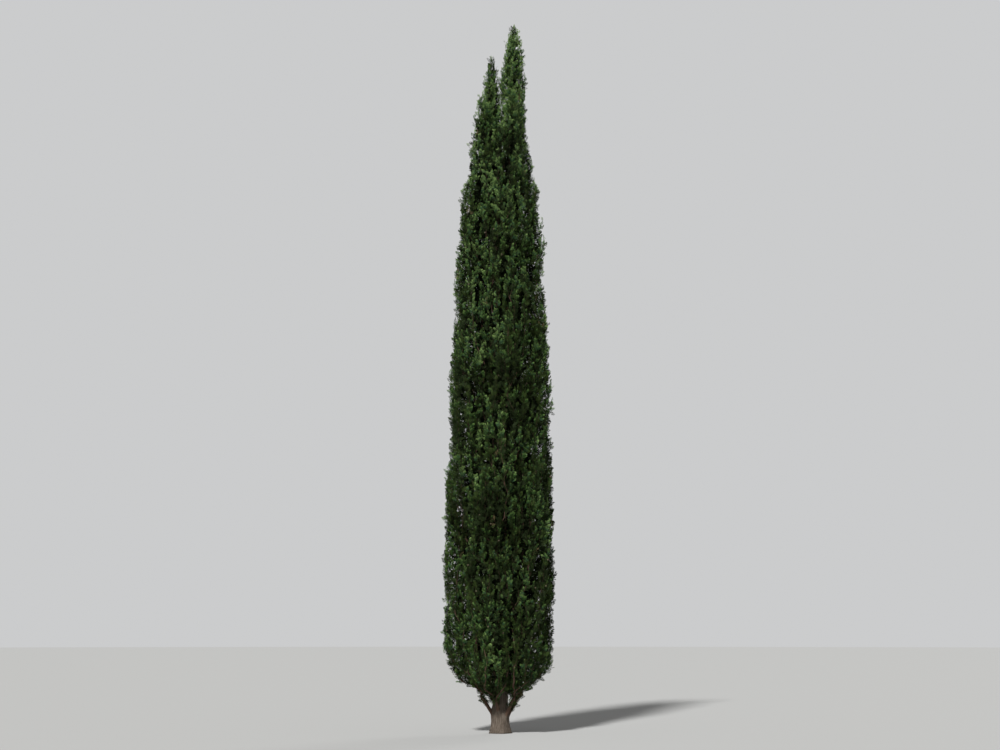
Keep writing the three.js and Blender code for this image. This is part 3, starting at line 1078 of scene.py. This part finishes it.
for number, mass in enumerate(masses):
    growMass(number, mass)


# Where a nearly level line of sight still passes right through the crown, the nearest twig inside
# grows one more spray across it, and after each round the lines of sight are tried again

fillRules = {
    "rounds": 8,
    "directions": 18,
    "step": 0.055,  # metres between lines of sight
    "rise": 0.15,  # most that a line of sight climbs or falls, for each metre
    "heights": (0.7, 10.9),
    "halfWidth": 0.95,
    "standOff": 1.5,  # from the trunk's middle to either end of a line of sight
    "thick": 0.16,  # least way through the crown
    "shares": (0.2, 0.3, 0.4, 0.5, 0.6, 0.7, 0.8),  # of that way, where a spray may cross it
    "depth": 0.06,  # of the twigs that may grow such a spray
    "deep": 0.15,  # from here on it is one of the large sprays of the core
    "largest": 1.25,  # times its layer's usual size; a longer way is bridged by a twig
    "leastTwig": 0.01,
    "reach": 0.28,
    "straightUp": 0.03,  # nearer than this, the spray just grows upwards
    "apart": 0.045,
    "past": 0.07,  # how far the spray reaches past the line of sight
    "below": 0.012,  # and how far below the crown's skin it stays
}


def openSights(rules, leafTrees, rng):
    # the two ends of each line of sight that meets no leaf
    found = []
    reach = 2 * rules["standOff"]
    for turn in np.linspace(0, math.pi, rules["directions"], endpoint=False):
        aside = Vector((math.cos(turn), -math.sin(turn), 0))
        for height in np.arange(*rules["heights"], rules["step"]):
            middle = trunkAt(height)
            rise = rng.uniform(-rules["rise"], rules["rise"])
            way = Vector((math.sin(turn), math.cos(turn), rise)).normalized()
            for offset in np.arange(-rules["halfWidth"], rules["halfWidth"], rules["step"]):
                start = middle + aside * offset - way * rules["standOff"]
                near = allFaces.ray_cast(start, way, reach)[0]
                if near is None:
                    continue
                far = allFaces.ray_cast(start + way * reach, -way, reach)[0]
                if far is None or (far - near).length < rules["thick"]:
                    continue
                if all(tree.ray_cast(start, way, reach)[0] is None for tree in leafTrees):
                    found.append((near, far))
    rng.shuffle(found)
    return found


def crossingSpray(near, far, nearest, rules):
    # the deepest spray that can grow across the line of sight: where they meet, its foot, way and length
    found = []
    for share in rules["shares"]:
        place = near.lerp(far, share)
        bud, _, distance = nearest.find(place)
        way = (place - bud).normalized() if distance > rules["straightUp"] else up
        for past in (rules["past"], rules["past"] / 2):
            spare = -outside(bud + way * (distance + past))[0]
            if spare > rules["below"] and distance < rules["reach"]:
                found.append((spare - distance, place, bud, way, distance + past))
                break
    return max(found, key=lambda f: f[0])[1:] if found else None


def nearestTwig(rules):
    # finds the nearest point of the wood that is deep enough
    buds = [p for line in woodLines for p in line if outside(p)[0] < -rules["depth"]]
    nearest = KDTree(len(buds))
    for k, place in enumerate(buds):
        nearest.insert(place, k)
    nearest.balance()
    return nearest


def surfaceTree(piece):
    return BVHTree.FromObject(piece, bpy.context.evaluated_depsgraph_get())


def fillCrown(rules, seed):
    rng = random.Random(seed)
    nearest = nearestTwig(rules)
    leafTrees = [surfaceTree(piece) for piece in leafPieces]
    made, piece = {}, None
    for _ in range(rules["rounds"]):
        sights = openSights(rules, leafTrees + ([surfaceTree(piece)] if piece else []), rng)
        taken = []
        for near, far in sights:
            spray = crossingSpray(near, far, nearest, rules)
            if spray is None or any((spray[0] - other).length < rules["apart"] for other in taken):
                continue
            place, bud, way, length = spray
            layer = 2 if -outside(bud)[0] > rules["deep"] else 1
            # at the end of a shoot a spray goes straight on, and smaller
            full = (insideLook, coreLook)[layer - 1]["length"] * (1 - sprayGrowth["Tip Smaller"])
            size = min(length / full, rules["largest"])
            foot = bud + way * (length - size * full)
            if (foot - bud).length > rules["leastTwig"]:
                addWood("twigs_inner", [bud, bud.lerp(foot, 0.5), foot], twigRules["stalk"])
            taken.append(place)
            addSprays(made, [foot, foot + way * leafyRules["stub"]], 1, 0, layer, size, leafyRules["single"])
        if piece:
            bpy.data.objects.remove(piece)
        piece = growLeaves("leaves_inner", lineMesh("filling lines", **made), seed)
        print("open lines of sight", len(sights), "sprays grown across them", len(taken))
    return piece


leafPieces.append(fillCrown(fillRules, 77))
for piece in leafPieces:
    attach(piece, "root")
print("leaves", sum(len(piece.data.polygons) for piece in leafPieces), "faces")

for spray in list(sprays.objects):
    bpy.data.objects.remove(spray)
bpy.data.collections.remove(sprays)

for name, store in wood.items():
    growth = {"twigs": twigGrowth, "inner": boughGrowth, "bough": lowBoughGrowth}[name.split("_")[0]]
    piece = grown(name, lineMesh(name, **store), limbMaker, growth)
    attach(piece, "root")
    if name.startswith("bough_bark"):
        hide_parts("bough_" + name[-1])
    print(name, len(piece.data.polygons), "faces")

radius = np.linspace(*limbRules["leaderRadius"], len(leaderLine))
leaderMesh = lineMesh("leader", [leaderLine], thickness=[radius])
leader = grown("second_leader_bark", leaderMesh, limbMaker, leaderGrowth)
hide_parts("second_leader")
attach(leader, "root")
print("wood ready")


# Cones: small woody balls of twelve plates, in clusters on the older part of some shoots

def coneShape(look):
    # a plate round each corner of an icosahedron, with a low point in its middle
    ball = bmesh.new()
    bmesh.ops.create_icosphere(ball, subdivisions=1, radius=1.0)
    ball.verts.index_update()
    ball.faces.index_update()
    points = [v.co.copy() for v in ball.verts]
    points += [f.calc_center_median().normalized() * look["groove"] for f in ball.faces]
    faces = []
    for edge in ball.edges:
        left, right = (len(ball.verts) + f.index for f in edge.link_faces)
        for end in edge.verts:
            a, b, c = points[end.index], points[left], points[right]
            turned = (b - a).cross(c - a).dot(a) < 0
            faces.append((end.index, right, left) if turned else (end.index, left, right))
    ball.free()
    points = [(p.x, p.y, p.z * look["longer"]) for p in points]
    return bpy.data.objects.new("cone shape", newMesh("cone shape", points, [], faces))


def coneTree():
    # a cone on each point, turned at random
    tree, inputs, add = newTree("conesOnPoints", {"Cone": "Object", "Seed": "Int", "Wood": "Material"})
    size = add("GeometryNodeInputNamedAttribute", {"Name": "size"}, data_type="FLOAT")
    cone = add("GeometryNodeObjectInfo", {"Object": inputs["Cone"]}).node.outputs["Geometry"]
    turn = add("FunctionNodeRandomValue", {
        "Min": (0, 0, 0), "Max": coneLook["turn"], "Seed": inputs["Seed"]}, data_type="FLOAT_VECTOR")
    placed = add("GeometryNodeInstanceOnPoints", {"Points": inputs["Geometry"], "Instance": cone,
                                                  "Rotation": turn, "Scale": size})
    endTree(add, placed, [(True, inputs["Wood"])])
    return tree


coneModel = coneShape(coneLook)
conePiece = grown("cones", lineMesh("cone places", **cones), coneTree(), {
    "Cone": coneModel, "Seed": 5, "Wood": coneWood})
bpy.data.objects.remove(coneModel)
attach(conePiece, "root")
print("cones", len(cones["lines"]))


# Studio: pale floor, soft light and the photo's standpoint

studio = {
    "eyeHeight": 1.6,
    "distance": 25.0,
    "lens": 54.5,
    "aim": 5.85,  # height that the camera looks at
    "floorRadius": 150.0,
    "floorSides": 96,
    "floorColour": "#bcbcba",
    "skyColour": "#f4f5f6",
    "skySeen": 0.66,  # brightness of the plain background
    "skyStrength": 0.21,  # and of the soft light that comes from it
    "lamps": {  # strength, degrees across, degrees round from the camera to the right, and above the horizon
        "key lamp": (4.0, 6.0, -20, 42),
        "back lamp": (0.45, 18.0, 150, 30),
    },
}


def addSun(name, strength, across, *direction):
    lamp = linkObject(name, bpy.data.lights.new(name, "SUN"))
    lamp.data.energy = strength
    lamp.data.angle = math.radians(across)
    round_, rise = (math.radians(d) for d in direction)
    source = Vector((math.sin(round_) * math.cos(rise), -math.cos(round_) * math.cos(rise), math.sin(rise)))
    lamp.rotation_euler = source.to_track_quat("Z", "Y").to_euler()


def makeStudio(look):
    ring = [(look["floorRadius"] * math.cos(a), look["floorRadius"] * math.sin(a), 0.0)
            for a in np.linspace(0, 2 * math.pi, look["floorSides"], endpoint=False)]
    mesh = newMesh("floor", ring, [], [tuple(range(len(ring)))])
    mesh.materials.append(plainMaterial("paleFloor", look["floorColour"], 0.9, 0.1))
    linkObject("floor", mesh)
    world = bpy.data.worlds.new("pale sky")
    world.use_nodes = True
    rays = addNode(world.node_tree, "ShaderNodeLightPath").node
    strength = addNode(world.node_tree, "ShaderNodeMapRange", {
        "Value": rays.outputs["Is Camera Ray"], "To Min": look["skyStrength"], "To Max": look["skySeen"]})
    background = world.node_tree.nodes["Background"]
    background.inputs["Color"].default_value = linear(look["skyColour"])
    world.node_tree.links.new(strength, background.inputs["Strength"])
    scene.world = world
    for name, values in look["lamps"].items():
        addSun(name, *values)
    camera = linkObject("camera", bpy.data.cameras.new("camera"))
    camera.data.lens = look["lens"]
    camera.data.clip_end = 500
    camera.location = (0.0, -look["distance"], look["eyeHeight"])
    aim = Vector((0, 0, look["aim"])) - camera.location
    camera.rotation_euler = aim.to_track_quat("-Z", "Y").to_euler()
    scene.camera = camera
    scene.view_settings.view_transform = "Standard"


makeStudio(studio)
print("studio ready")
